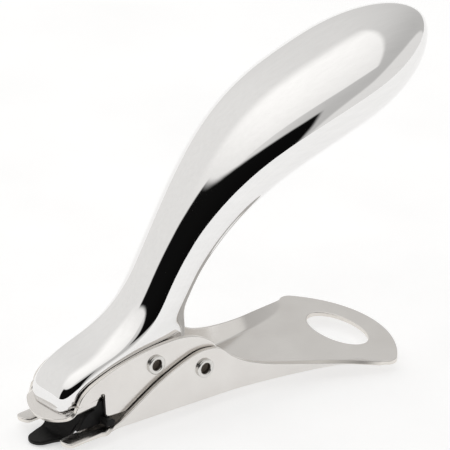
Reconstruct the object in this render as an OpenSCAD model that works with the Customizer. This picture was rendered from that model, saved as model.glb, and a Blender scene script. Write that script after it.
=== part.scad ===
// Lever staple remover: a stamped base with two claws, and a lever that turns on one rivet.
// The lever is a jaw bracket, a hardened lifting tongue and a cast handle.
// Lengths are in millimetres. X runs to the rear, Y across, Z up.

/* [Sheet] */
// Thickness of the base and bracket sheet
sheet = 1.2; // [1.0:0.1:1.4]
// Thickness of the hardened tongue
tongue_t = 1.0; // [0.8:0.1:1.2]

/* [Base] */
// Width of the base channel over its walls
channel_w = 22; // [21.6:0.2:24]
// Clear gap between the two claws
claw_gap = 13; // [12.4:0.2:13.4]
// Depth of the gap between the claws
claw_len = 11.5; // [10:0.5:12]
// Half width that the rear plate gains over the channel
plate_flare = 11.2; // [9:0.2:12]
// Width of the oval hanging hole
hole_w = 21; // [14:1:24]
// Length of the oval hanging hole
hole_len = 10.2; // [8:0.2:11]

/* [Lever] */
// Distance from the claw tips back to the pivot
pivot_x = 41.7; // [41.5:0.1:41.9]
// Height of the pivot above the base floor
pivot_z = 8.2; // [8.0:0.1:8.4]
// Distance from the claw tips back to the handle rivet
handle_rivet_x = 28; // [26:0.5:29]
// Height of the handle rivet above the base floor
handle_rivet_z = 12.6; // [12.2:0.1:13]
// Running gap between the bracket and the base on each side
side_gap = 0.3; // [0.2:0.05:0.4]

/* [Handle] */
// Half width of the handle where it stands in the bracket
foot_half_w = 8.1; // [7.6:0.1:8.1]
// Half width of the handle at its bulb
bulb_half_w = 17; // [14:0.5:19]

/* [Rivets and spring] */
// Diameter of the rivet shanks
rivet_d = 3.2; // [2.8:0.1:3.4]
// Diameter of the rivet heads
rivet_head_d = 4.9; // [4.4:0.1:5.4]
// Diameter of the spring wire
wire_d = 1.3; // [1.0:0.1:1.4]
// Number of full turns of the spring
spring_turns = 5; // [3:1:6]

/* [Hidden] */
$fn = 64;

// The origin stands below the middle of the whole object, at the level of its lowest point.
origin_x = 56.6;
origin_z = -3.4;

wall_out = channel_w / 2;
wall_in = wall_out - sheet;
cheek_out = wall_in - side_gap;
cheek_in = cheek_out - sheet;
claw_in = claw_gap / 2;
claw_r = (wall_out - 0.02 - claw_in) / 2;

flare_x = 50;
flare_len = 40;
corner_r = 2.4;
corner_x = 91.2;
corner_y = wall_out + plate_flare - corner_r + 0.1;
tail_x = 88.4;
rear_x = 69;
rear_r = norm([corner_x - rear_x, corner_y]) + corner_r;
hole_x = 91;
claw_dip = 4;

coil_r = 3.75;
sleeve_r = 3;
shank_r = rivet_d / 2;
press_r = shank_r + 0.02;
running_r = shank_r + 0.06;
head_h = 0.8;

// A smooth curve through a short list of points, with steps points for each span.
function span_at(p, q, r, s, t) =
    0.5 * (2 * q + (r - p) * t + (2 * p - 5 * q + 4 * r - s) * t * t + (3 * q - p - 3 * r + s) * t * t * t);
function at(pts, i) =
    i < 0 ? 2 * pts[0] - pts[1]
    : i >= len(pts) ? 2 * pts[len(pts) - 1] - pts[len(pts) - 2]
    : pts[i];
function smooth(pts, steps) = [
    for (i = [0 : len(pts) - 2], k = [0 : steps - 1])
        span_at(at(pts, i - 1), at(pts, i), at(pts, i + 1), at(pts, i + 2), k / steps),
    pts[len(pts) - 1]
];
function reversed(pts) = [for (i = [len(pts) - 1 : -1 : 0]) pts[i]];
function mirrored(pts) = [for (p = reversed(pts)) [p[0], -p[1]]];
function mirrored_y(pts) = [for (p = reversed(pts)) [-p[0], p[1]]];
function arc(cx, cy, r, from, to, steps) = [
    for (k = [0 : steps]) let (a = from + (to - from) * k / steps) [cx + r * cos(a), cy + r * sin(a)]
];

// A curve moved sideways to its left by the distance d.
function aside(pts, d) = [
    for (i = [0 : len(pts) - 1])
        let (step = at(pts, i + 1) - at(pts, i - 1), n = norm(step))
            [pts[i][0] - d * step[1] / n, pts[i][1] + d * step[0] / n]
];
// The outline of a strip of thickness t with the curve along its middle.
function strip(pts, t) = concat(aside(pts, t / 2), reversed(aside(pts, -t / 2)));

// Places a piece drawn from the claw tips and the base floor in the object's own frame.
module placed() {
    translate([-origin_x, 0, -origin_z]) children();
}

// Extrudes a side view, drawn as length and height, across the width from y1 to y2.
module across(y1, y2) {
    translate([0, y2, 0]) rotate([90, 0, 0]) linear_extrude(y2 - y1) children();
}

module both_sides() {
    children();
    mirror([0, 1, 0]) children();
}

module bore(x, z, r) {
    translate([x, 0, z]) rotate([90, 0, 0]) cylinder(r = r, h = 60, center = true);
}

// ---- base frame ----

// Line where the walls bend up from the floor, one side.
function fold_y(x) =
    let (u = max(0, x - flare_x) / flare_len)
        wall_out + plate_flare * (0.54 * pow(u, 2) + 0.46 * pow(u, 12));

// Outline of the flat tail of the base behind the walls, one side.
function tail_edge() = concat(
    arc(corner_x, corner_y, corner_r, 140, 50, 6),
    arc(rear_x, 0, rear_r, atan2(corner_y, corner_x - rear_x), 3, 14)
);

function oval(a, b, steps) = [
    for (k = [0 : steps - 1]) [a * cos(360 * k / steps), b * sin(360 * k / steps)]
];

// The walls' outer top edge: upright beside the lever, then leaning out and lying down at the tail.
function wall_rim() = smooth([
    [claw_len, wall_out, 0.05], [15.8, wall_out, 1.0], [22, wall_out, 4.7], [28, wall_out, 8.2],
    [34.6, wall_out, 11.1], [40, wall_out, 12.8], [44, wall_out, 12.8], [46.8, wall_out, 11.9],
    [flare_x, wall_out, 9.2], [54, wall_out + 0.7, 6.7], [60, wall_out + 2.0, 4.6],
    [70, wall_out + 4.3, 2.4], [80, wall_out + 7.3, 0.6], [tail_x, wall_out + plate_flare - 0.9, -sheet]
], 4);

// One cross-section of the bent sheet: flat floor, a fold on each side, and a wall up to its rim.
function sheet_section(x, fold, rim_y, rim_z) =
    let (
        lean = atan2(rim_z + sheet, rim_y - fold),
        half = [[fold, -sheet], [rim_y, rim_z],
                [rim_y - sheet * sin(lean), rim_z + sheet * cos(lean)],
                [fold - sheet * tan(lean / 2), 0]]
    ) [for (q = reversed(concat(half, mirrored_y(half)))) [x, q[0], q[1]]];

module bent_sheet() {
    rings = concat(
        [for (p = wall_rim()) sheet_section(p[0], fold_y(p[0]), p[1], p[2])],
        [for (p = tail_edge()) sheet_section(p[0], 0.8 * p[1], p[1], -sheet)]
    );
    last = (len(rings) - 1) * 8;
    quads = [[0, 1, 2, 3], [0, 3, 4, 7], [4, 5, 6, 7]];
    skin(rings, concat([for (q = quads) reversed(q)], [for (q = quads) [for (k = q) last + k]]));
}

// The claws dip towards their tips. Their roots lie 0.02 mm inside the sheet's faces.
claw_root = claw_len + 1;
module claws() {
    both_sides() translate([claw_root, claw_in, -0.02]) rotate([0, -claw_dip, 0]) {
        translate([claw_r - claw_root, claw_r, -sheet]) cylinder(r = claw_r, h = sheet);
        translate([claw_r - claw_root, 0, -sheet]) cube([claw_root - claw_r, 2 * claw_r, sheet]);
    }
}

module base_frame() {
    color("silver") placed() difference() {
        union() {
            bent_sheet();
            claws();
        }
        translate([hole_x, 0, -5]) linear_extrude(10) polygon(oval(hole_len / 2, hole_w / 2, 60));
        bore(pivot_x, pivot_z, press_r);
    }
}

// ---- jaw bracket ----

lip_r = 13;
lip_corner_r = 4;
lip_x = -0.9;
relief_x = 9.8;
seat_half_w = 6.9;
seat_end = 19;

// Top of the bracket floor: a sloping lip in front of the nose, then a gentle rise.
lip_top = [[lip_x - 1, 3.42], [4.2, 6.4], [seat_end, 7.88]];

module lip_plan() {
    corner = [lip_x + lip_r - sqrt(pow(lip_r - lip_corner_r, 2) - pow(cheek_out - lip_corner_r, 2)),
              cheek_out - lip_corner_r];
    turn = atan2(corner[1], corner[0] - lip_x - lip_r);
    half = concat(
        arc(lip_x + lip_r, 0, lip_r, 180, turn, 10),
        arc(corner[0], corner[1], lip_corner_r, turn, 90, 8),
        [[relief_x, cheek_out], [relief_x, seat_half_w], [seat_end, seat_half_w]]
    );
    polygon(concat(half, mirrored(half)));
}

function cheek_top() = smooth([
    [3.9, 6.2], [4.6, 9.7], [6.6, 11.6], [9.8, 13.1], [16.8, 15.3], [26, 17.1], [34, 17.5],
    [39.4, 16.8], [43.4, 15.0], [46.4, 12.2], [48.1, 8.2], [46.8, 4.2], [43.4, 2.0], [39, 1.8]
], 4);

module cheek() {
    polygon(concat(
        [[3.9, 5.2]],
        cheek_top(),
        [[12.9, 2.8], [12.6, 8.4]],
        arc(11.7, 8.4, 0.9, 0, 180, 8),
        [[relief_x + 0.3, 7.2], [relief_x, 5.79]]
    ));
}

module jaw_bracket() {
    color("gainsboro") placed() difference() {
        union() {
            intersection() {
                linear_extrude(20) lip_plan();
                across(-20, 20) polygon(concat(lip_top, [
                    [seat_end, lip_top[2][1] - sheet], [4.2, lip_top[1][1] - sheet],
                    [lip_x - 1, lip_top[0][1] - sheet - 0.15]
                ]));
            }
            both_sides() across(cheek_in, cheek_out) cheek();
        }
        bore(pivot_x, pivot_z, running_r);
        bore(handle_rivet_x, handle_rivet_z, press_r);
        tongue_rivet_bores();
    }
}

// ---- lifting tongue ----

function tongue_line() = smooth([
    [-3.2, -2.9], [1, -2.6], [4.6, -2.2], [6.8, 0.4], [8.8, 4.0], [11.2, 5.25], [seat_end, 6.03]
], 5);

module tongue_plan() {
    half = concat(
        arc(0, 0, 3.2, 180, 100, 10),
        [[5, 4.8], [8.6, 5.5], [9.4, 7.3], [14, 7.3], [15, 5.6], [seat_end - 0.4, 5.6]]
    );
    polygon(concat(half, mirrored(half)));
}

ear_in = 7.1;
ear_out = cheek_in - 0.1;

module lifting_tongue() {
    color("black") placed() {
        difference() {
            intersection() {
                translate([0, 0, -10]) linear_extrude(30) tongue_plan();
                across(-20, 20) polygon(strip(tongue_line(), tongue_t));
            }
            tongue_rivet_bores();
        }
        both_sides() {
            across(ear_in, ear_out) polygon([
                [6.6, 0.8], [14.4, 0.8], [14.4, 3.6], [13, 6.9], [10.4, 6.9], [10.2, 4.9], [8.4, 4.4]
            ]);
            across(ear_out, wall_out) polygon([[12, 0.9], [14.4, 0.9], [14.4, 2.2], [13.8, 2.6], [12, 2.6]]);
        }
    }
}

// ---- rivets ----

tongue_rivet_x = 16.6;
tongue_rivet_y = 3;
tongue_rivet_r = 1.1;

module tongue_rivet_bores() {
    both_sides() translate([tongue_rivet_x, tongue_rivet_y, 0]) cylinder(r = tongue_rivet_r, h = 30);
}

// Two short rivets clamp the tongue's seat under the bracket floor, peened flush on top.
module tongue_rivets() {
    color("darkgray") placed() both_sides() translate([tongue_rivet_x, tongue_rivet_y, 4.6]) {
        cylinder(r = tongue_rivet_r - 0.01, h = 2.9);
        cylinder(r = 1.8, h = 0.48);
    }
}

// A tubular rivet across the tool: a rolled rim with a hole on one side, a low dome on the other.
module cross_rivet(x, z, half_len) {
    head_r = rivet_head_d / 2;
    hole_r = shank_r * 0.62;
    rim = head_h * 0.45;
    translate([x, 0, z]) rotate([90, 0, 0]) rotate_extrude() polygon(concat(
        [[0, -half_len - head_h], [head_r * 0.5, -half_len - head_h * 0.9], [head_r * 0.85, -half_len - head_h * 0.6],
         [head_r, -half_len], [shank_r, -half_len], [shank_r, half_len]],
        [[head_r, half_len]],
        arc(head_r - rim, half_len + head_h - rim, rim, 0, 90, 5),
        arc(hole_r + rim, half_len + head_h - rim, rim, 90, 180, 5),
        [[hole_r, half_len - 5], [0, half_len - 5]]
    ));
}

module handle_rivet() {
    color("silver") placed() cross_rivet(handle_rivet_x, handle_rivet_z, cheek_out);
}

module pivot_rivet() {
    color("silver") placed() cross_rivet(pivot_x, pivot_z, wall_out);
}

module pivot_sleeve() {
    color("darkgray") placed() translate([pivot_x, 0, pivot_z]) rotate([90, 0, 0]) difference() {
        cylinder(r = sleeve_r, h = 2 * cheek_in - 0.2, center = true);
        cylinder(r = shank_r + 0.02, h = 40, center = true);
    }
}

// ---- tubes and skins made of rings ----

// Joins equal rings of points into one closed skin, with flat ends.
module skin(rings, ends) {
    n = len(rings[0]);
    m = len(rings);
    sides = [
        for (i = [0 : m - 2], k = [0 : n - 1])
            let (a = i * n + k, b = i * n + (k + 1) % n)
                each [[a, b, b + n], [a, b + n, a + n]]
    ];
    polyhedron(points = [for (r = rings) each r], faces = concat(sides, ends), convexity = 8);
}

// ---- torsion spring ----

wire_r = wire_d / 2;
coil_pitch = wire_d + 0.12;
coil_half = spring_turns * coil_pitch / 2 + 0.1;
leg_end = [58, wire_r + 0.15];

// The wire runs from its rear leg on the base floor, round the sleeve, and up behind the handle's foot.
function spring_route() = concat(
    [for (k = [0 : 3]) let (t = k / 4)
        [leg_end[0] + (pivot_x - leg_end[0]) * t, -coil_half,
         leg_end[1] + (pivot_z - coil_r - leg_end[1]) * t * t * (3 - 2 * t)]],
    [for (k = [0 : spring_turns * 20 + 5]) let (a = -90 - 18 * k, t = k / (spring_turns * 20 + 5))
        [pivot_x + coil_r * cos(a), -coil_half + 2 * coil_half * t, pivot_z + coil_r * sin(a)]],
    [for (z = [pivot_z + 1.8, pivot_z + 3.6, pivot_z + 5.2]) [pivot_x - coil_r, coil_half, z]]
);

function wire_ring(route, i, r, sides) =
    let (
        d = at(route, i + 1) - at(route, i - 1),
        along = d / norm(d),
        side = cross(along, [0, 1, 0]),
        u = side / norm(side),
        v = cross(along, u)
    ) [for (k = [0 : sides - 1]) route[i] + r * cos(360 * k / sides) * u - r * sin(360 * k / sides) * v];

module torsion_spring() {
    route = spring_route();
    sides = 8;
    last = (len(route) - 1) * sides;
    color("dimgray") placed() skin(
        [for (i = [0 : len(route) - 1]) wire_ring(route, i, wire_r, sides)],
        [[for (k = [sides - 1 : -1 : 0]) k], [for (k = [0 : sides - 1]) last + k]]
    );
}

// ---- handle ----

// Each row is one slice through the handle, from its foot in the bracket to its bulb:
// front edge x and z, rear edge x and z, half width, and how square its front and rear ends are.
function slices() = smooth([
    [1.8, 6.6, 40.6, 13.6, foot_half_w, 6.0, 4.0],
    [1.6, 8.6, 41.0, 16.2, foot_half_w, 6.0, 4.0],
    [3.0, 12.0, 41.2, 18.4, foot_half_w, 4.6, 3.6],
    [7.2, 14.9, 41.3, 20.2, foot_half_w, 3.4, 3.2],
    [13.8, 17.4, 41.5, 22.0, 8.2, 2.8, 2.8],
    [21.4, 21.4, 42.2, 24.4, 8.3, 2.4, 2.4],
    [27.4, 27.4, 43.4, 27.4, 8.5, 2.3, 2.3],
    [31.9, 35.0, 45.6, 31.0, 8.8, 2.2, 2.2],
    [37.2, 43.6, 49.2, 35.4, 9.5, 2.15, 2.15],
    [44.6, 54.0, 56.0, 42.2, bulb_half_w * 0.67, 2.1, 2.1],
    [55.4, 65.2, 66.2, 49.0, bulb_half_w * 0.835, 2.1, 2.1],
    [70.0, 73.8, 77.6, 53.8, bulb_half_w * 0.975, 2.1, 2.1],
    [86.0, 78.9, 91.2, 58.2, bulb_half_w, 2.1, 2.1]
], 3);
around = 40;

function bent(v, power) = sign(v) * pow(abs(v), 2 / power);
function slice_ring(s) = [
    for (k = [0 : around - 1])
        let (a = 360 * k / around, n = cos(a) > 0 ? s[5] : s[6])
            [(s[0] + s[2]) / 2 + (s[0] - s[2]) / 2 * bent(cos(a), n),
             s[4] * bent(sin(a), n),
             (s[1] + s[3]) / 2 + (s[1] - s[3]) / 2 * bent(cos(a), n)]
];

// The underside of the foot rests just above the bracket floor and ends ahead of the spring.
foot_rear = 36.9;
foot_gap = 0.2;
function under_z(x) = x < 4.2 ? 6.4 + foot_gap - 0.584 * (4.2 - x) : 6.4 + foot_gap + 0.1 * (x - 4.2);
function foot_ring(front, rear, rise) = [
    for (k = [0 : around - 1])
        let (a = 360 * k / around, n = cos(a) > 0 ? 6 : 4,
             x = (front + rear) / 2 + (front - rear) / 2 * bent(cos(a), n))
            [x, foot_half_w * bent(sin(a), n), under_z(x) + rise * (x - front) / (rear - front)]
];

// From the last slice on, the bulb closes like half an egg.
end_len = 27.8;
end_rise = 9.2;
function end_slice(last, a) =
    let (
        mid = [(last[0] + last[2]) / 2 + end_len * sin(a), (last[1] + last[3]) / 2 + end_rise * sin(a)],
        tilt = atan2(last[2] - last[0], last[1] - last[3]) * (1 - 0.6 * sin(a)),
        half = norm([last[2] - last[0], last[1] - last[3]]) / 2 * cos(a),
        reach = [-sin(tilt), cos(tilt)] * half
    ) concat(mid + reach, mid - reach, [last[4] * pow(cos(a), 1.1), last[5], last[6]]);

module handle_casting() {
    body = slices();
    bulb_end = [for (a = [8, 17, 26, 35, 44, 53, 62, 71, 79, 85.5]) end_slice(body[len(body) - 1], a)];
    rings = concat(
        [foot_ring(1.9, foot_rear, 0), foot_ring(1.85, foot_rear, 4.4)],
        [for (s = body) slice_ring(s)],
        [for (s = bulb_end) slice_ring(s)]
    );
    last = (len(rings) - 1) * around;
    underside = [for (k = [0 : around / 2 - 1])
        k == 0 ? [0, around - 1, 1]
        : k == around / 2 - 1 ? [k, around - k, k + 1]
        : [k, around - k, around - k - 1, k + 1]];
    skin(rings, concat(underside, [[for (k = [0 : around - 1]) last + k]]));
}

module handle() {
    color("whitesmoke") placed() difference() {
        handle_casting();
        bore(handle_rivet_x, handle_rivet_z, press_r);
    }
}

base_frame();
jaw_bracket();
handle();
lifting_tongue();
tongue_rivets();
handle_rivet();
pivot_rivet();
pivot_sleeve();
torsion_spring();
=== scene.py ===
"""The looks of a lever staple remover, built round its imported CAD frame.

Shapes are worked out in millimetres in the tool's own frame: X runs from the claw tips to the tail,
Y across, Z up from the top of the base's floor. row() turns them into the row frame, in metres.
"""

import math

import bpy
import numpy as np
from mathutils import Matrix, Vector
from mathutils.geometry import delaunay_2d_cdt


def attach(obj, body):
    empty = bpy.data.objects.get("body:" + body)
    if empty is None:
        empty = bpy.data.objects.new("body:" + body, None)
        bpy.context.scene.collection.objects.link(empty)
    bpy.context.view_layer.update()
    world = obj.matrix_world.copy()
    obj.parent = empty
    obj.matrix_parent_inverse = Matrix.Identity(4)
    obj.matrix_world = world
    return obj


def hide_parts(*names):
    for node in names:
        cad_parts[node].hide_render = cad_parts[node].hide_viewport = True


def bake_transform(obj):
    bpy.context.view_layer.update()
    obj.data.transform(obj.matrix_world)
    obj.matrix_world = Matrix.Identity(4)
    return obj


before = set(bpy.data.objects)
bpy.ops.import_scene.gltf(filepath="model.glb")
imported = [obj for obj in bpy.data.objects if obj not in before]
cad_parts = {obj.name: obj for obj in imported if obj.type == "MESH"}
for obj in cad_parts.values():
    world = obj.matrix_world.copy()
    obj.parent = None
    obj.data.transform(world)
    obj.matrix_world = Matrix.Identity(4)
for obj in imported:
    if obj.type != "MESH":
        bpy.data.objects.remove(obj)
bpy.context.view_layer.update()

# ---- the tool's frame, and the sizes that part.scad has too ----

ORIGIN_X = 56.6
ORIGIN_Z = -3.4
SHEET = 1.2
TONGUE_T = 1.0
WALL_OUT = 11.0
CHEEK_OUT = 9.5
CHEEK_IN = 8.3
PIVOT = (41.7, 8.2)
HANDLE_RIVET = (28.0, 12.6)
SHANK_R = 1.6
HEAD_R = 2.45
HEAD_H = 0.8
WIRE_R = 0.65
COIL_R = 3.75
COIL_HALF = 3.65
COIL_TURNS = 5.25

# ---- sizes that only the looks have ----

EDGE_R = 0.24
TONGUE_EDGE_R = 0.3
EAR_EDGE_R = 0.15


def row(points):
    """Points in the tool's frame, in millimetres, as points in the row frame, in metres."""
    p = np.asarray(points, float).reshape(-1, 3)
    return (p - np.array([ORIGIN_X, 0.0, ORIGIN_Z])) / 1000.0


def smooth(points, steps):
    """A Catmull-Rom curve through the points, with steps points for each span."""
    a = np.asarray(points, float)
    a = np.vstack([2 * a[0] - a[1], a, 2 * a[-1] - a[-2]])
    out = []
    for i in range(1, len(a) - 2):
        p, q, r, s = a[i - 1 : i + 3]
        square, cube = 2 * p - 5 * q + 4 * r - s, 3 * q - p - 3 * r + s
        for k in range(steps):
            t = k / steps
            out.append(0.5 * (2 * q + (r - p) * t + square * t**2 + cube * t**3))
    out.append(a[-2])
    return np.array(out)


def arc(cx, cy, r, start, end, steps):
    angles = np.radians(np.linspace(start, end, steps + 1))
    return np.stack([cx + r * np.cos(angles), cy + r * np.sin(angles)], 1)


def unit(v):
    return v / np.maximum(np.linalg.norm(v, axis=-1, keepdims=True), 1e-12)


# ---- mesh making ----


def add_piece(name, points, faces, material, body, node, slot, normals=None, edge=None):
    """A shown piece from points in the tool's frame. edge is 1 where a point lies on a cut edge of sheet, on
    the pivot sleeve's end rings, or inside a rivet's bore, whose dark colour is painted shade.
    """
    mesh = bpy.data.meshes.new(name)
    mesh.from_pydata(row(points).tolist(), [], [list(map(int, f)) for f in faces])
    mesh.update()
    mesh.polygons.foreach_set("use_smooth", [True] * len(mesh.polygons))
    if edge is not None:
        layer = mesh.attributes.new("cut_edge_and_hole_shade", "FLOAT", "POINT")
        layer.data.foreach_set("value", np.asarray(edge, np.float32))
    if normals is not None:
        mesh.normals_split_custom_set_from_vertices(unit(np.asarray(normals, float)).tolist())
    mesh.materials.append(material)
    piece = bpy.data.objects.new(name, mesh)
    bpy.context.scene.collection.objects.link(piece)
    if body:
        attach(piece, body)
    if node:
        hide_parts(node)
    return piece


def mirrored(half):
    """The closed anticlockwise outline made of half, on the +Y side, and its mirror image."""
    other = half[np.abs(half[:, 1]) > 1e-9] * [1, -1]
    return np.vstack([half, other[::-1]])[::-1]


def oval(cx, cy, a, b, steps):
    t = np.radians(np.arange(steps) * 360 / steps)
    return np.stack([cx + a * np.cos(t), cy + b * np.sin(t)], 1)


def joined(shells):
    """Several (points, faces, normals, edge) shells as one."""
    points, faces, normals, edges, base = [], [], [], [], 0
    for p, f, n, e in shells:
        points.append(p)
        faces += [[int(i) + base for i in face] for face in f]
        normals.append(n)
        edges.append(e)
        base += len(p)
    return np.vstack(points), faces, np.vstack(normals), np.concatenate(edges)


def inside(polygon, p):
    """Which of the points p lie in the polygon."""
    a, b = polygon, np.roll(polygon, -1, 0)
    x, y = p[:, 0][:, None], p[:, 1][:, None]
    crosses = (a[:, 1] > y) != (b[:, 1] > y)
    with np.errstate(divide="ignore", invalid="ignore"):
        at = (b[:, 0] - a[:, 0]) * (y - a[:, 1]) / (b[:, 1] - a[:, 1]) + a[:, 0]
    return (crosses & (x < at)).sum(1) % 2 == 1


def distance_to(polygon, p):
    a, b = polygon, np.roll(polygon, -1, 0)
    d = b - a
    best = np.full(len(p), 1e9)
    for k in range(len(a)):
        t = np.clip(((p - a[k]) @ d[k]) / max(d[k] @ d[k], 1e-12), 0, 1)
        best = np.minimum(best, np.linalg.norm(p - a[k] - t[:, None] * d[k], axis=1))
    return best


def resample(line, spacing):
    """The closed outline with its corners kept and no side longer than spacing."""
    out = []
    for a, b in zip(line, np.roll(line, -1, 0)):
        length = np.linalg.norm(b - a)
        if length < 1e-6:
            continue
        n = max(1, int(math.ceil(length / spacing)))
        out += [a + (b - a) * k / n for k in range(n)]
    return np.array(out)


def inset(polygon, d):
    """The closed anticlockwise outline moved inward by d."""
    before = unit(polygon - np.roll(polygon, 1, 0))
    after = unit(np.roll(polygon, -1, 0) - polygon)
    into_before = np.stack([-before[:, 1], before[:, 0]], 1)
    into_after = np.stack([-after[:, 1], after[:, 0]], 1)
    n = unit(into_before + into_after)
    stretch = 1 / np.clip((n * into_after).sum(1), 0.5, 1)
    return polygon + n * (d * stretch)[:, None]


def plate(outline, holes, inner, spacing=0.5, clear=0.22):
    """Triangles that fill the outline less its holes, passing through the inner points."""
    loops = [resample(outline, spacing)] + [resample(h, spacing) for h in holes]
    inner = np.asarray(inner, float).reshape(-1, 2)
    keep = inside(loops[0], inner)
    for loop in loops[1:]:
        keep &= ~inside(loop, inner)
    for loop in loops:
        keep &= distance_to(loop, inner) > clear
    inner = inner[keep]
    edges, base = [], 0
    for loop in loops:
        n = len(loop)
        edges += [(base + k, base + (k + 1) % n) for k in range(n)]
        base += n
    points = np.vstack(loops + [inner])
    made = delaunay_2d_cdt([Vector(p) for p in points], edges, [], 0, 1e-7)
    points = np.array([list(v) for v in made[0]])
    tris = np.array([f for f in made[2] if len(f) == 3])
    middle = points[tris].mean(1)
    keep = inside(loops[0], middle)
    for loop in loops[1:]:
        keep &= ~inside(loop, middle)
    tris = tris[keep]
    a, b, c = (points[tris[:, k]] for k in range(3))
    area = (b[:, 0] - a[:, 0]) * (c[:, 1] - a[:, 1]) - (b[:, 1] - a[:, 1]) * (c[:, 0] - a[:, 0])
    tris[area < 0] = tris[area < 0][:, ::-1]
    return points, tris[np.abs(area) > 1e-9]


def surface(points, tris, place):
    """The flat triangles carried onto a bent surface, with its normals."""
    at = np.array([place(x, s) for x, s in points])
    d = 0.02
    along = np.array([np.subtract(place(x + d, s), place(x - d, s)) for x, s in points])
    across = np.array([np.subtract(place(x, s + d), place(x, s - d)) for x, s in points])
    return at, tris, unit(np.cross(along, across))


def welded(parts):
    """Surfaces that share edge points, as one surface."""
    at, tris, normals = parts[0]
    for more, more_tris, more_normals in parts[1:]:
        gap = np.linalg.norm(more[:, None, :] - at[None, :, :], axis=2)
        near, index = gap.min(1), gap.argmin(1)
        fresh = near > 0.01
        number = np.where(fresh, len(at) + np.cumsum(fresh) - 1, index)
        normals = normals.copy()
        normals[index[~fresh]] = unit(normals[index[~fresh]] + more_normals[~fresh])
        at = np.vstack([at, more[fresh]])
        normals = np.vstack([normals, more_normals[fresh]])
        tris = np.vstack([tris, number[np.asarray(more_tris)]])
    return at, tris, normals


def thicken(surface_parts, thickness, radius=EDGE_R, steps=4):
    """A sheet of metal: the surface made thick, with rounded rims round its outline and holes."""
    at, tris, normals = surface_parts
    half = thickness / 2
    sides = [(int(a), int(b)) for t in tris for a, b in ((t[0], t[1]), (t[1], t[2]), (t[2], t[0]))]
    known = set(sides)
    rim = [(a, b) for a, b in sides if (b, a) not in known]
    after = {a: b for a, b in rim}
    before = {b: a for a, b in rim}
    ids = list(after)
    place = {v: k for k, v in enumerate(ids)}
    p = at[ids]
    n = normals[ids]
    out_after = unit(np.cross(unit(at[[after[v] for v in ids]] - p), n))
    out_before = unit(np.cross(unit(p - at[[before[v] for v in ids]]), n))
    b = unit(out_after + out_before)
    stretch = 1 / np.clip((b * out_after).sum(1), 0.6, 1)
    out = b * stretch[:, None]
    shells = [at + normals * half, at - normals * half]
    shell_normals = [normals, -normals]
    edge = [np.zeros(len(at)), np.zeros(len(at))]
    angles = np.radians(np.linspace(0, 90, steps + 1))[1:]
    levels = [(a, 1) for a in angles] + [(a, -1) for a in angles[::-1]]
    for a, side in levels:
        lift = side * (half - radius * (1 - math.cos(a)))
        shells.append(p + out * (radius * math.sin(a)) + n * lift)
        shell_normals.append(n * (side * math.cos(a)) + b * math.sin(a))
        edge.append(np.full(len(ids), 1.0 if math.sin(a) > 0.99 else 0.0))
    count, m = len(at), len(ids)
    faces = [list(t) for t in tris] + [[t[2] + count, t[1] + count, t[0] + count] for t in tris]

    def point(level, v):
        """The number of rim point v: on the top face, on one of the rounded levels, or on the bottom face."""
        if level < 0:
            return v
        return v + count if level == len(levels) else 2 * count + level * m + place[v]

    for v, w in rim:
        for level in range(-1, len(levels)):
            faces.append([point(level, w), point(level, v), point(level + 1, v), point(level + 1, w)])
    return np.vstack(shells), faces, np.vstack(shell_normals), np.concatenate(edge)


def skin(rings, ends=True):
    """A shell through equal rings of points, with a flat face at each end unless ends is False."""
    count, last = len(rings[0]), len(rings) - 1
    faces = []
    for i in range(last):
        a, b = i * count, (i + 1) * count
        faces += [[a + j, a + (j + 1) % count, b + (j + 1) % count, b + j] for j in range(count)]
    if ends:
        faces += [list(range(count))[::-1], [last * count + j for j in range(count)]]
    return np.vstack(rings), faces


def lathe(profile, centre, axis_y=True, steps=72, ends=True):
    """A turned shell round the Y or Z axis through centre. The profile is (radius, height, edge)."""
    a = np.radians(np.arange(steps) * 360 / steps)
    rings = []
    for r, h, _ in profile:
        c, s, flat = r * np.cos(a), r * np.sin(a), np.full(steps, h)
        rings.append(np.stack([c, flat, s] if axis_y else [c, s, flat], 1) + np.asarray(centre, float))
    points, faces = skin(rings, ends)
    if axis_y:
        faces = [f[::-1] for f in faces]
    return points, faces, np.zeros_like(points), np.repeat([float(e) for _, _, e in profile], steps)


# ---- materials ----


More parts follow.
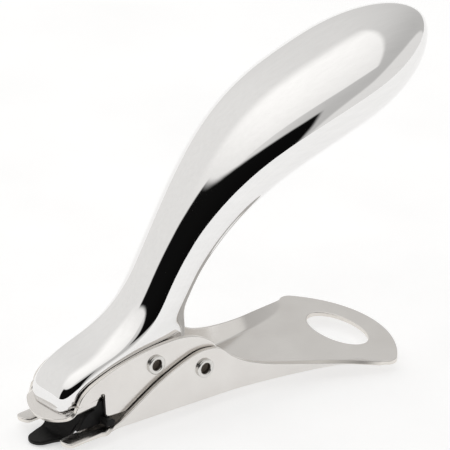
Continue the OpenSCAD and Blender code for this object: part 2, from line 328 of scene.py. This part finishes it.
class Nodes:
    """A short way to build one material's node tree."""

    def __init__(self, name):
        self.material = bpy.data.materials.new(name)
        self.material.use_nodes = True
        self.tree = self.material.node_tree
        self.shader = self.tree.nodes["Principled BSDF"]
        self.coords = self.tree.nodes.new("ShaderNodeTexCoord").outputs["Object"]

    def put(self, socket, value):
        if isinstance(value, bpy.types.NodeSocket):
            self.tree.links.new(value, socket)
        else:
            socket.default_value = value

    def noise(self, scale, detail=4.0, rough=0.55, stretch=(1, 1, 1)):
        """Noise over the object; scale is in features per metre."""
        turn = self.tree.nodes.new("ShaderNodeMapping")
        turn.inputs["Scale"].default_value = stretch
        self.put(turn.inputs["Vector"], self.coords)
        tex = self.tree.nodes.new("ShaderNodeTexNoise")
        self.put(tex.inputs["Vector"], turn.outputs["Vector"])
        tex.inputs["Scale"].default_value = scale
        tex.inputs["Detail"].default_value = detail
        tex.inputs["Roughness"].default_value = rough
        return tex.outputs["Fac"]

    def between(self, value, low, high, new_low, new_high):
        node = self.tree.nodes.new("ShaderNodeMapRange")
        for socket, v in zip(list(node.inputs)[:5], (value, low, high, new_low, new_high)):
            self.put(socket, v)
        return node.outputs["Result"]

    def mix(self, amount, a, b):
        """a where amount is 0 and b where it is 1, for colours."""
        node = self.tree.nodes.new("ShaderNodeMix")
        node.data_type = "RGBA"
        self.put(node.inputs["Factor"], amount)
        self.put(node.inputs[6], a)
        self.put(node.inputs[7], b)
        return node.outputs[2]

    def blend(self, amount, a, b):
        """The same for plain values."""
        node = self.tree.nodes.new("ShaderNodeMix")
        self.put(node.inputs["Factor"], amount)
        self.put(node.inputs[2], a)
        self.put(node.inputs[3], b)
        return node.outputs["Result"]

    def attribute(self, name):
        node = self.tree.nodes.new("ShaderNodeAttribute")
        node.attribute_name = name
        return node.outputs["Fac"]

    def bump(self, height, depth, strength=1.0, onto=None):
        """Relief; depth is in metres."""
        node = self.tree.nodes.new("ShaderNodeBump")
        node.inputs["Strength"].default_value = strength
        node.inputs["Distance"].default_value = depth
        self.put(node.inputs["Height"], height)
        if onto is not None:
            self.put(node.inputs["Normal"], onto)
        return node.outputs["Normal"]

    def done(self, **sockets):
        for name, value in sockets.items():
            self.put(self.shader.inputs[name.replace("_", " ")], value)
        return self.material


def chrome():
    m = Nodes("mirror_chrome")
    waves = m.bump(m.noise(150, 1.5), 0.000016)
    fine = m.bump(m.noise(2600, 3), 0.0000004, onto=waves)
    hairs = m.noise(900, 6, stretch=(0.12, 1, 1))
    haze = m.between(m.noise(60, 4), 0.35, 0.7, 0.025, 0.05)
    colour = m.mix(m.between(hairs, 0.3, 0.7, 0.0, 1.0), (0.84, 0.835, 0.83, 1), (0.87, 0.865, 0.86, 1))
    return m.done(Base_Color=colour, Metallic=1.0, Roughness=haze, Normal=fine)


def nickel():
    m = Nodes("nickel_sheet")
    cut = m.attribute("cut_edge_and_hole_shade")
    grain = m.noise(1600, 6, 0.6, stretch=(0.06, 1, 1))
    cloud = m.noise(90, 5)
    torn = m.noise(5200, 5, 0.7)
    flat = m.bump(grain, 0.0000022)
    rough_cut = m.bump(m.blend(cut, 0.5, torn), 0.000012, onto=flat)
    colour = m.mix(m.between(cloud, 0.3, 0.7, 0.0, 1.0), (0.74, 0.715, 0.69, 1), (0.80, 0.78, 0.755, 1))
    colour = m.mix(cut, colour, (0.80, 0.765, 0.72, 1))
    roughness = m.blend(cut, m.between(cloud, 0.3, 0.7, 0.17, 0.24), 0.3)
    return m.done(Base_Color=colour, Metallic=1.0, Roughness=roughness, Normal=rough_cut)


def black_steel():
    m = Nodes("black_steel")
    grain = m.noise(2400, 6, 0.65)
    cloud = m.noise(240, 4)
    normal = m.bump(grain, 0.000012)
    amount = m.between(cloud, 0.3, 0.7, 0.0, 1.0)
    colour = m.mix(amount, (0.006, 0.006, 0.0065, 1), (0.012, 0.0118, 0.0115, 1))
    colour = m.mix(m.blend(m.attribute("cut_edge_and_hole_shade"), 0.0, 0.3), colour, (0.05, 0.048, 0.045, 1))
    roughness = m.between(cloud, 0.3, 0.7, 0.34, 0.46)
    return m.done(
        Base_Color=colour,
        Metallic=0.0,
        Specular_IOR_Level=0.12,
        Roughness=roughness,
        Normal=normal,
    )


def rivet_steel():
    m = Nodes("rivet_steel")
    shaded_hole = m.attribute("cut_edge_and_hole_shade")
    rings = m.noise(1900, 5, 0.6)
    normal = m.bump(rings, 0.00001)
    normal = m.bump(m.blend(shaded_hole, 0.5, m.noise(3400, 5, 0.7)), 0.00012, onto=normal)
    colour = m.mix(m.between(rings, 0.3, 0.7, 0.0, 1.0), (0.66, 0.65, 0.63, 1), (0.76, 0.745, 0.72, 1))
    # Painted shade: inside a rivet's bore the colour goes dark brown, standing in for the shade of a deep bore;
    # the sleeve's end rings get the same dark colour. The rough bump and roughness there are the metal's own.
    colour = m.mix(shaded_hole, colour, (0.15, 0.13, 0.11, 1))
    roughness = m.blend(shaded_hole, m.between(rings, 0.3, 0.7, 0.18, 0.3), 0.6)
    return m.done(Base_Color=colour, Metallic=1.0, Roughness=roughness, Normal=normal)


def spring_wire():
    m = Nodes("spring_wire")
    drawn = m.noise(2100, 5, 0.6)
    colour = m.mix(m.between(drawn, 0.3, 0.7, 0.0, 1.0), (0.12, 0.112, 0.10, 1), (0.24, 0.228, 0.21, 1))
    return m.done(
        Base_Color=colour,
        Metallic=1.0,
        Roughness=m.between(drawn, 0.3, 0.7, 0.28, 0.42),
        Normal=m.bump(drawn, 0.000008),
    )


CHROME, NICKEL, BLACK, RIVET, WIRE = chrome(), nickel(), black_steel(), rivet_steel(), spring_wire()

# ---- base frame: one sheet with claws, walls and a flat tail ----

FLARE_X = 50.0
FLARE_LEN = 40.0
PLATE_FLARE = 11.2
TAIL_X = 88.4
TAIL_CORNER = (91.2, 19.9, 2.4)
TAIL_ARC = (69, 0, 32.21)
HOLE = (91, 0, 5.1, 10.5)
CLAW_IN = 6.5
CLAW_R = 2.24
CLAW_OUT = CLAW_IN + 2 * CLAW_R
CLAW_CROWN = 0.5
CLAW_DIP = math.tan(math.radians(4))
SLOT_END = 11.5
SLOT_R = 1.2
WALL_START = 10.5
HINGE_X = 12.5
FLOOR_MID = -SHEET / 2

# The walls' outer top edge, as length, half width and height.
WALL_RIM = smooth(
    [
        (11.5, 11, 0.05), (15.8, 11, 1.0), (22, 11, 4.7), (28, 11, 8.2), (34.6, 11, 11.1), (40, 11, 12.8),
        (44, 11, 12.8), (46.8, 11, 11.9), (50, 11, 9.2), (54, 11.7, 6.7), (60, 13, 4.6), (70, 15.3, 2.4),
        (80, 18.3, 0.6), (TAIL_X, 21.3, -1.2),
    ],
    16,
)


def fold_y(x):
    """Where the walls bend up from the floor's underside."""
    u = np.maximum(0, x - FLARE_X) / FLARE_LEN
    return WALL_OUT + PLATE_FLARE * (0.54 * u**2 + 0.46 * u**12)


def wall_table():
    """For each length x: the wall's lean, where its middle surface folds, its run, and the bend's reach."""
    x, rim_y, rim_z = WALL_RIM.T
    fold = fold_y(x)
    rise = np.clip((x - WALL_START) / 4, 0, 1)
    lean = np.arctan2(rim_z + SHEET, rim_y - fold) * rise**2 * (3 - 2 * rise)
    corner = fold - SHEET / 2 * np.tan(lean / 2)
    mid_y = rim_y - SHEET / 2 * np.sin(lean)
    mid_z = rim_z + SHEET / 2 * np.cos(lean)
    straight = np.where(x < 15, rim_z + SHEET / 2, np.hypot(mid_y - corner, mid_z - FLOOR_MID))
    reach = np.minimum(1.2 - 0.035 * np.clip(x - FLARE_X, 0, 16), 0.6 * straight)
    first = [WALL_START, 0, CLAW_OUT, 0, 0]
    return np.vstack([first, np.stack([x, lean, corner, straight, reach], 1)])


WALL = wall_table()


def wall_at(x):
    return [float(np.interp(x, WALL[:, 0], WALL[:, k])) for k in (1, 2, 3, 4)]


def arc_length(lean, reach):
    return 2 * reach if lean < 1e-3 else reach / math.tan(lean / 2) * lean


def wall_end(x):
    """How far the middle surface runs from the centre line to the wall's rim."""
    lean, corner, straight, reach = wall_at(x)
    return corner - reach + arc_length(lean, reach) + straight - reach


def folded(s, corner, reach, lean, floor_z):
    """The y and z at the distance s along a floor that turns up by the angle lean at the corner."""
    side, s = (1 if s >= 0 else -1), abs(s)
    start = corner - reach
    if s <= start or lean < 1e-3 or reach < 1e-6:
        return side * s, floor_z
    radius = reach / math.tan(lean / 2)
    a = min((s - start) / radius, lean)
    y = start + radius * math.sin(a)
    z = floor_z + radius * (1 - math.cos(a))
    over = max(0.0, s - start - radius * lean)
    return side * (y + over * math.cos(lean)), z + over * math.sin(lean)


def base_place(x, s):
    """The base's middle surface, with crowned claws that dip towards their tips."""
    if WALL_START < x < TAIL_X:
        lean, corner, _, reach = wall_at(x)
        y, z = folded(s, corner, reach, lean, FLOOR_MID)
    else:
        y, z = s, FLOOR_MID
    if x < SLOT_END:
        off = (abs(s) - CLAW_IN - CLAW_R) / CLAW_R
        z += CLAW_CROWN * (1 - min(1.0, off * off)) * min(1.0, (SLOT_END - x) / 5)
    d = HINGE_X - x
    return x, y, z - 0.02 - CLAW_DIP * (math.sqrt(d * d + 1.5) + d) / 2


def base_outline():
    slot = arc(SLOT_END - SLOT_R, CLAW_IN - SLOT_R, SLOT_R, 0, 90, 8)
    tip = arc(CLAW_R, CLAW_IN + CLAW_R, CLAW_R, 270, 90, 24)
    stations = np.concatenate([np.arange(WALL_START, 18, 0.4), np.arange(18, TAIL_X, 0.7)])
    rims = [(x, wall_end(x)) for x in stations]
    corner = arc(*TAIL_CORNER, 140, 50, 10)
    end = arc(*TAIL_ARC, 41.9, 1.5, 22)
    last = (TAIL_ARC[0] + TAIL_ARC[2], 0)
    return mirrored(np.vstack([[(SLOT_END, 0)], slot, tip, rims, corner, end, [last]]))


def base_stations(x):
    """How far from the centre line the mesh has points at the length x. They are closest in the bend."""
    if not WALL_START < x < TAIL_X:
        return list(np.arange(0, 22, 1.0 if x > 20 else 0.5))
    lean, corner, straight, reach = wall_at(x)
    bend = arc_length(lean, reach)
    start = corner - reach
    floor_part = np.arange(0, start - 0.4, 1.3)
    bend_part = start + bend * np.linspace(0, 1, 9)
    wall_part = np.arange(start + bend + 0.9, start + bend + straight - reach, 1.1)
    return [*floor_part, *bend_part, *wall_part]


def base_surface():
    lean, corner, _, reach = wall_at(PIVOT[0])
    pivot_s = corner - reach + arc_length(lean, reach) - reach + PIVOT[1] - FLOOR_MID
    bore = SHANK_R + 0.03 + EDGE_R
    holes = [inset(oval(*HOLE, 90), -EDGE_R)]
    holes += [oval(PIVOT[0], side * pivot_s, bore, bore, 40) for side in (1, -1)]
    inner = []
    for x in np.arange(0.6, 101, 0.8):
        s = base_stations(x)
        inner += [(x, v) for v in s] + [(x, -v) for v in s if v > 0]
    return surface(*plate(inset(base_outline(), EDGE_R), holes, inner), base_place)


points, faces, normals, edge = thicken(base_surface(), SHEET)
add_piece("base_sheet", points, faces, NICKEL, "base", "base_frame", "nickel_sheet", normals, edge)

# ---- jaw bracket: a lip and floor that fold up into two cheeks ----

LIP_X = -0.9
LIP_R = 13
RELIEF_X = 9.8
SEAT_HALF_W = 6.9
SEAT_END = 19
CHEEK_MID = (CHEEK_IN + CHEEK_OUT) / 2
LIP_FOLD_R = 1.0
LIP_FOLD_START = CHEEK_MID - LIP_FOLD_R

# The floor and each cheek are meshed apart and joined along a line a little above the bend.
WELD_X = (4.36, 10.3)
WELD_RISE = 0.6
WELD_S = LIP_FOLD_START + LIP_FOLD_R * math.pi / 2 + WELD_RISE


def lip_mid(x):
    return float(np.interp(x, [LIP_X - 1, 4.2, SEAT_END], [3.42, 6.4, 7.88])) - SHEET / 2


def lip_place(x, s):
    """The bracket's floor, flat in front and with upright sides from the length 4.3 on."""
    u = min(max((x - 1.9) / 2.4, 0), 1)
    bend = math.pi / 2 * u * u * (3 - 2 * u)
    reach = LIP_FOLD_R * math.tan(bend / 2)
    y, z = folded(s, LIP_FOLD_START + reach, reach, bend, lip_mid(x))
    return x, y, z


def weld_z(x):
    return lip_mid(x) + LIP_FOLD_R + WELD_RISE


def cut(outline, keep, seam):
    """The outline with the points that keep turns down replaced, on each side, by the seam's points."""
    out, done = [], set()
    for p in outline:
        side = 1 if p[1] > 0 else -1
        if keep(p):
            out.append(p)
        elif side not in done:
            out += seam(side)
            done.add(side)
    return np.array(out, float)


def lip_outline():
    """The floor laid flat. It runs past the weld line, where it's cut."""
    front = arc(LIP_X + LIP_R, 0, LIP_R, 180, 142.3, 14)
    side = smooth([(2.3, 8.3), (3.1, 8.85), (3.8, 9.5), (4.12, 10.3)], 4)
    past = [(4.12, 12), (10.54, 12)]
    relief = [(10.4, 9.9), (10.0, 9.0), (RELIEF_X, 8.2), (RELIEF_X, 7.4), (10.0, 7.05), (10.3, SEAT_HALF_W)]
    outline = mirrored(np.vstack([front, side, past, relief, [(SEAT_END, SEAT_HALF_W)]]))

    def seam(way):
        return [(x, way * WELD_S) for x in WELD_X[::-way]]

    return cut(inset(outline, EDGE_R), lambda p: abs(p[1]) < WELD_S - 0.05, seam)


def cheek_outline():
    """A cheek, as length and height. It runs past the weld line, where it's cut."""
    top = smooth(
        [
            (4.1, 6.2), (5.2, 9.4), (7.2, 11.4), (10.2, 13.0), (16.8, 15.3), (26, 17.1), (34, 17.5),
            (39.4, 16.8), (43.4, 15), (46.4, 12.2), (48.1, 8.2), (46.8, 4.2), (43.4, 2), (39, 1.8),
        ],
        8,
    )
    notch = arc(11.7, 8.4, 0.9, 0, 180, 12)
    loop = np.vstack([[(3.9, 5.2)], top, [(12.9, 2.8)], notch, [(10.1, 7.2), (RELIEF_X, 5.79)]])[::-1]
    return cut(
        inset(loop, EDGE_R),
        lambda p: p[0] > WELD_X[1] + 0.1 or p[1] > weld_z(p[0]) + 0.12,
        lambda way: [(x, weld_z(x)) for x in WELD_X[::-1]],
    )


def upright(points, tris, side, middle):
    """A flat plate drawn as length and height, standing at the half width middle on one side."""
    if side > 0:
        return surface(points, tris, lambda x, z: (x, middle, z))
    return surface(points * [1, -1], tris[:, ::-1], lambda x, down: (x, -middle, -down))


def bracket_surface():
    bend_part = LIP_FOLD_START + np.linspace(0, 1.571, 8)
    stations = [*np.arange(0, LIP_FOLD_START - 0.1, 1.1), *bend_part, 9.8]
    inner = [(x, side * s) for x in np.arange(-0.6, 18.8, 0.45) for s in stations for side in (1, -1)]
    running, pressed = SHANK_R + 0.07 + EDGE_R, SHANK_R + 0.03 + EDGE_R
    holes = [oval(*PIVOT, running, running, 40), oval(*HANDLE_RIVET, pressed, pressed, 40)]
    grid = [(x, z) for x in np.arange(4.5, 48, 2.2) for z in np.arange(3, 17.4, 2.2)]
    cheek = plate(cheek_outline(), holes, grid)
    floor_part = surface(*plate(lip_outline(), [], inner), lip_place)
    return welded([floor_part] + [upright(*cheek, side, CHEEK_MID) for side in (1, -1)])


points, faces, normals, edge = thicken(bracket_surface(), SHEET)
add_piece("jaw_bracket_sheet", points, faces, NICKEL, "lever", "jaw_bracket", "nickel_sheet", normals, edge)

# ---- lifting tongue, with its ears and the lugs that meet the base walls ----

TONGUE_SIDE = [(-3.2, -2.9), (1, -2.6), (4.6, -2.2), (6.8, 0.4), (8.8, 4), (11.2, 5.25), (SEAT_END, 6.03)]
TONGUE_LINE = smooth(TONGUE_SIDE, 12)
TONGUE_TIP = (0.14, 0, 3.2)

# The plates on each side: outline as length and height, where its middle stands, and its thickness.
EAR_LINE = [(8.4, 4.5), (7.2, 3.6), (5.0, 0.6), (14.4, 0.8), (14.4, 3.6), (13, 6.9), (10.4, 6.9), (10.2, 4.9)]
LUG_LINE = [(14.4, 0.9), (14.4, 2.2), (13.8, 2.6), (12, 2.6), (12, 0.9)]
SIDE_PLATES = ((EAR_LINE, 7.65, 1.1), (LUG_LINE, 9.5, 3.0))


def tongue_surface():
    side = [(4.6, 4.8), (6.8, 5.5), (7.9, 6.9), (9.2, 7.3), (14, 7.3), (14.6, 6.0), (15, 5.6), (18.6, 5.6)]
    outline = inset(mirrored(np.vstack([arc(*TONGUE_TIP, 180, 100, 14), side])), TONGUE_EDGE_R)
    inner = [(x, s) for x in np.arange(-2.8, 18.4, 0.3) for s in np.arange(-7, 7.1, 1.0)]
    flat = plate(outline, [], inner, 0.4)
    return surface(*flat, lambda x, s: (x, s, float(np.interp(x, TONGUE_LINE[:, 0], TONGUE_LINE[:, 1]))))


def tongue_shells():
    shells = [thicken(tongue_surface(), TONGUE_T, TONGUE_EDGE_R)]
    for side in (1, -1):
        for outline, middle, thickness in SIDE_PLATES:
            flat = plate(inset(np.array(outline, float), EAR_EDGE_R), [], [])
            shells.append(thicken(upright(*flat, side, middle), thickness, EAR_EDGE_R))
    return joined(shells)


points, faces, normals, edge = tongue_shells()
add_piece("lifting_tongue_steel", points, faces, BLACK, "lever", "lifting_tongue", "black_steel", normals, edge)

# ---- rivets and the pivot sleeve ----


def add_turned(name, shell, body, node):
    points, faces, _, edge = shell
    piece = add_piece(name, points, faces, RIVET, body, node, "rivet_steel", edge=edge)
    piece.data.set_sharp_from_angle(angle=math.radians(38))


def cross_rivet(x, z, half_len):
    """A tubular rivet: a rolled rim round a rough bore on the -Y side, its inside painted dark as shade, and a
    low dome on the +Y side.
    """
    hole_r, rim_h = 1.42, 0.34
    rim_w = (HEAD_R - hole_r) / 2
    top = half_len + HEAD_H
    under = HEAD_R - 0.08
    # The third value marks the bore's inside, which rivet_steel roughens and paints dark as shade.
    shaded_hole = [(0.04, 1.5, 1), (0.7, 1.45, 1), (hole_r - 0.1, 1.2, 1), (hole_r - 0.02, 0.75, 1)]
    shaded_hole = [(r, depth - top, rough) for r, depth, rough in shaded_hole]
    rim = [
        (hole_r + rim_w - rim_w * math.cos(a), rim_h - top - rim_h * math.sin(a), 0)
        for a in np.radians(np.linspace(0, 180, 17))
    ]
    shank = [(under, -half_len, 0), (SHANK_R, -half_len, 0), (SHANK_R, half_len, 0), (under, half_len, 0)]
    dome = [
        (HEAD_R * math.sin(a), half_len + 0.12 + (HEAD_H - 0.12) * math.cos(a), 0)
        for a in np.radians(np.linspace(90, 1, 12))
    ]
    return lathe(shaded_hole + rim + shank + dome, (x, 0, z))


SLEEVE = [
    (2.85, -8.2, 1), (2.97, -8.12, 0), (3, -8, 0), (3, 8, 0), (2.97, 8.12, 0), (2.85, 8.2, 1), (1.75, 8.2, 1),
    (1.62, 8.08, 0), (1.62, -8.08, 0), (1.75, -8.2, 1), (2.85, -8.2, 1),
]
SMALL_RIVET = [
    (0.04, 4.6, 0), (1.3, 4.6, 0), (1.62, 4.66, 0), (1.78, 4.82, 0), (1.78, 4.96, 0), (1.7, 5.08, 0),
    (1.09, 5.08, 0), (1.09, 7.38, 0), (1.0, 7.47, 0), (0.04, 7.5, 0),
]
SMALL_RIVET_AT = (16.6, 3)

add_turned("handle_rivet_body", cross_rivet(*HANDLE_RIVET, CHEEK_OUT), "lever", "handle_rivet")
add_turned("pivot_rivet_body", cross_rivet(*PIVOT, WALL_OUT), "base", "pivot_rivet")
add_turned("pivot_sleeve_tube", lathe(SLEEVE, (PIVOT[0], 0, PIVOT[1]), ends=False), "base", "pivot_sleeve")
pair = [
    lathe(SMALL_RIVET, (SMALL_RIVET_AT[0], side * SMALL_RIVET_AT[1], 0), axis_y=False, steps=40)
    for side in (1, -1)
]
add_turned("tongue_rivet_pair", joined(pair), "lever", "tongue_rivets")

# ---- torsion spring ----


def spring_route():
    """Along the base's floor, round the sleeve, and up behind the handle's foot."""
    leg_x, leg_z = 58, 0.8
    rise = PIVOT[1] - COIL_R - leg_z
    out = []
    for t in np.arange(24) / 24:
        out.append((leg_x + (PIVOT[0] - leg_x) * t, -COIL_HALF, leg_z + rise * t * t * (3 - 2 * t)))
    for t in np.linspace(0, 1, int(COIL_TURNS * 36) + 1):
        a = math.radians(-90 - 360 * COIL_TURNS * t)
        y = COIL_HALF * (2 * t - 1)
        out.append((PIVOT[0] + COIL_R * math.cos(a), y, PIVOT[1] + COIL_R * math.sin(a)))
    out += [(PIVOT[0] - COIL_R, COIL_HALF, PIVOT[1] + d) for d in (0.6, 1.3, 2.2, 3.2, 4.2, 5.2)]
    return np.array(out)


def wire(route, r, sides=20):
    """A round wire along the route, with its two ends slightly rounded."""
    along = unit(np.vstack([route[1] - route[0], route[2:] - route[:-2], route[-1] - route[-2]]))
    u = unit(np.cross(along, np.array([0.0, 1.0, 0.0])))
    v = np.cross(along, u)
    a = np.radians(np.arange(sides) * 360 / sides)
    last = len(route) - 1
    stops = [(0, 0.6, 0), (0, 0.9, 0.12)] + [(i, 1, 0) for i in range(1, last)]
    stops += [(last, 0.9, -0.12), (last, 0.6, 0)]
    rings = []
    for i, scale, shift in stops:
        round_it = np.outer(np.cos(a), u[i]) - np.outer(np.sin(a), v[i])
        rings.append(route[i] + along[i] * shift * r + scale * r * round_it)
    return skin(rings)


spring = add_piece(
    "torsion_spring_wire", *wire(spring_route(), WIRE_R), WIRE, None, "torsion_spring", "spring_wire"
)
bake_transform(spring)

# ---- handle ----

AROUND = 160
FOOT_HALF_W = 8.1
FOOT_FRONT = 1.7
FOOT_REAR = 36.9
FOOT_POWERS = (5.4, 4)
FOOT_ROUNDING = ((0.02, 0), (0.3, 0), (0.6, 0), (0.85, 0), (0.93, 0.02), (0.97, 0.12), (0.99, 0.3), (1, 0.6))
END_LEN = 27.8
END_RISE = 9.2

# One row is a slice through the handle: front x and z, rear x and z, half width, and how square its ends are.
BODY = [
    (1.5, 6.6, 40.6, 13.6, 8.1, 5.4, 4), (1.2, 8.6, 41, 16.2, 8.15, 5.4, 4),
    (2.6, 12, 41.2, 18.4, 8.15, 4.8, 3.6), (6.9, 15.0, 41.3, 20.2, 8.15, 3.7, 3.2),
    (13.8, 17.4, 41.5, 22, 8.2, 2.8, 2.8),
    (21.4, 21.4, 42.2, 24.4, 8.3, 2.4, 2.4), (27.4, 27.4, 43.4, 27.4, 8.5, 2.3, 2.3),
    (31.9, 35, 45.6, 31, 8.8, 2.2, 2.2), (37.2, 43.6, 49.2, 35.4, 9.5, 2.15, 2.15),
    (44.6, 54, 56, 42.2, 11.39, 2.1, 2.1), (55.4, 65.2, 66.2, 49, 14.195, 2.1, 2.1),
    (70, 73.8, 77.6, 53.8, 16.575, 2.1, 2.1), (86, 78.9, 91.2, 58.2, 17, 2.1, 2.1),
]


def bent(v, power):
    return np.sign(v) * np.abs(v) ** (2 / power)


def slice_ring(s):
    """The ring of points round one slice."""
    a = np.radians(np.arange(AROUND) * 360 / AROUND)
    power = np.where(np.cos(a) > 0, s[5], s[6])
    t = bent(np.cos(a), power)
    x = (s[0] + s[2]) / 2 + (s[0] - s[2]) / 2 * t
    z = (s[1] + s[3]) / 2 + (s[1] - s[3]) / 2 * t
    return np.stack([x, s[4] * bent(np.sin(a), power), z], 1)


def end_slice(last, a):
    """A slice of the bulb's end, which closes like half an egg as the angle a goes to a right angle."""
    s, c = math.sin(a), math.cos(a)
    tilt = math.atan2(last[2] - last[0], last[1] - last[3]) * (1 - 0.6 * s)
    half = math.hypot(last[2] - last[0], last[1] - last[3]) / 2 * c
    x, z = (last[0] + last[2]) / 2 + END_LEN * s, (last[1] + last[3]) / 2 + END_RISE * s
    dx, dz = -math.sin(tilt) * half, math.cos(tilt) * half
    return x + dx, z + dz, x - dx, z - dz, last[4] * c**1.1, last[5], last[6]


def handle_slices():
    body = smooth(BODY, 12)
    rows = np.vstack([body, [end_slice(body[-1], a) for a in np.radians(np.linspace(2, 89.3, 60))]])
    for _ in range(50):
        rows[1:-1] = 0.25 * rows[:-2] + 0.5 * rows[1:-1] + 0.25 * rows[2:]
    return rows


def under_z(x):
    """Height of the foot's underside, which rests just above the bracket's floor."""
    return np.where(x < 4.2, 6.6 - 0.584 * (4.2 - x), 6.6 + 0.1 * (x - 4.2))


def foot_rings():
    """The underside, from its middle out over a rounded edge, and the side up to the first slice."""
    flat = slice_ring((FOOT_FRONT, 0, FOOT_REAR, 0, FOOT_HALF_W, *FOOT_POWERS))
    mid = (FOOT_FRONT + FOOT_REAR) / 2
    rings = []
    for scale, lift in FOOT_ROUNDING:
        x = mid + (flat[:, 0] - mid) * scale
        rings.append(np.stack([x, flat[:, 1] * scale, under_z(x) + lift], 1))
    edge = slice_ring((FOOT_FRONT - 0.1, 0, FOOT_REAR, 0, FOOT_HALF_W, *FOOT_POWERS))
    edge[:, 2] = under_z(edge[:, 0]) + 0.6 + 3.8 * (edge[:, 0] - FOOT_FRONT) / (FOOT_REAR - FOOT_FRONT)
    foot = rings[-1]
    return rings + [foot + (edge - foot) * t for t in (0.33, 0.66, 1.0)]


def handle_rings():
    body = [slice_ring(s) for s in handle_slices()]
    foot = foot_rings()
    rise = [foot[-1] + (body[0] - foot[-1]) * t for t in (0.35, 0.7)]
    return foot + rise + body


handle = add_piece("handle_casting", *skin(handle_rings()), CHROME, "lever", "handle", "chrome_casting")
handle.data.set_sharp_from_angle(angle=math.radians(50))

# ---- studio ----

FLOOR_HALF = 12.0
FLOOR_Z = -0.0003
TENT = 0.76
TENT_FAR = TENT - 0.22
TENT_NEAR = TENT + 0.1
CEILING = 1.12
SIDE_PANEL = 0.28
ROOM_DARKNESS = 0.994

scene = bpy.context.scene
scene.view_settings.view_transform = "Standard"


def add_floor():
    m = Nodes("pale_floor")
    tone = m.mix(m.between(m.noise(30, 3), 0.3, 0.7, 0.0, 1.0), (0.60, 0.60, 0.60, 1), (0.62, 0.62, 0.62, 1))
    corners = [(x * FLOOR_HALF, y * FLOOR_HALF, FLOOR_Z) for x, y in ((-1, -1), (1, -1), (1, 1), (-1, 1))]
    mesh = bpy.data.meshes.new("floor")
    mesh.from_pydata(corners, [], [(0, 1, 2, 3)])
    mesh.materials.append(m.done(Base_Color=tone, Roughness=0.9, Emission_Color=tone, Emission_Strength=0.88))
    made = bpy.data.objects.new("floor", mesh)
    scene.collection.objects.link(made)


def direction(azimuth, elevation):
    """A unit vector. Azimuth 0 is the -Y side and -90 the -X side; both are in degrees."""
    a, e = math.radians(azimuth), math.radians(elevation)
    return math.sin(a) * math.cos(e), -math.cos(a) * math.cos(e), math.sin(e)


def add_sky():
    """A pale tent with a bright ceiling panel, a bright side, and a dark room beyond its open front."""
    world = bpy.data.worlds.new("studio")
    scene.world = world
    world.use_nodes = True
    tree = world.node_tree
    out = tree.nodes["Background"]
    coords = tree.nodes.new("ShaderNodeTexCoord").outputs["Generated"]

    def fill(sockets, values):
        for socket, v in zip(sockets, values):
            if isinstance(v, bpy.types.NodeSocket):
                tree.links.new(v, socket)
            else:
                socket.default_value = v

    def do(kind, *values):
        node = tree.nodes.new("ShaderNodeMath")
        node.operation = kind
        fill(node.inputs, values)
        return node.outputs[0]

    def toward(azimuth, elevation):
        node = tree.nodes.new("ShaderNodeVectorMath")
        node.operation = "DOT_PRODUCT"
        tree.links.new(coords, node.inputs[0])
        node.inputs[1].default_value = direction(azimuth, elevation)
        return node.outputs["Value"]

    def step(value, low, high, from_value=0.0, to_value=1.0):
        node = tree.nodes.new("ShaderNodeMapRange")
        node.interpolation_type = "SMOOTHSTEP"
        fill(list(node.inputs)[:5], (value, low, high, from_value, to_value))
        return node.outputs["Result"]

    up = toward(0, 90)
    above = do("MAXIMUM", up, 0.05)
    across = do("DIVIDE", toward(90, 0), above)
    away = do("DIVIDE", toward(180, 0), above)
    ceiling = do("MULTIPLY", step(across, -1.6, 0.35), step(across, 0.38, 0.46, 1, 0))
    ceiling = do("MULTIPLY", ceiling, step(away, -0.68, -0.6))
    ceiling = do("MULTIPLY", ceiling, step(away, 0.5, 0.85, 1, 0))
    side = step(toward(50, -6), 0.70, 0.77)
    light = step(toward(-125, 10), -0.6, 0.7, TENT_FAR, TENT_NEAR)
    light = do("ADD", light, do("MULTIPLY", ceiling, CEILING - TENT))
    light = do("ADD", light, do("MULTIPLY", side, SIDE_PANEL))

    level = do("MAXIMUM", do("SQRT", do("SUBTRACT", 1.0, do("MULTIPLY", up, up))), 0.05)
    room = step(do("DIVIDE", toward(-49, 0), level), 0.58, 0.64)
    room = do("MULTIPLY", room, step(up, -0.12, -0.05))
    room = do("MULTIPLY", room, step(up, 0.60, 0.67, 1, 0))
    light = do("MULTIPLY", light, do("SUBTRACT", 1.0, do("MULTIPLY", room, ROOM_DARKNESS)))
    tree.links.new(light, out.inputs["Strength"])
    out.inputs["Color"].default_value = (1.0, 0.99, 0.975, 1)


def add_camera():
    """A long lens from far off, so that the view is nearly parallel."""
    aim = Vector(row([(56.34, 0, 38.33)])[0])
    data = bpy.data.cameras.new("camera")
    data.lens = 1600
    data.sensor_width = 36
    data.clip_end = 20
    camera = bpy.data.objects.new("camera", data)
    camera.location = aim + Vector((-0.544, -0.716, 0.437)).normalized() * 4.88
    camera.rotation_euler = (aim - camera.location).to_track_quat("-Z", "Y").to_euler()
    scene.collection.objects.link(camera)
    scene.camera = camera


add_floor()
add_sky()
add_camera()
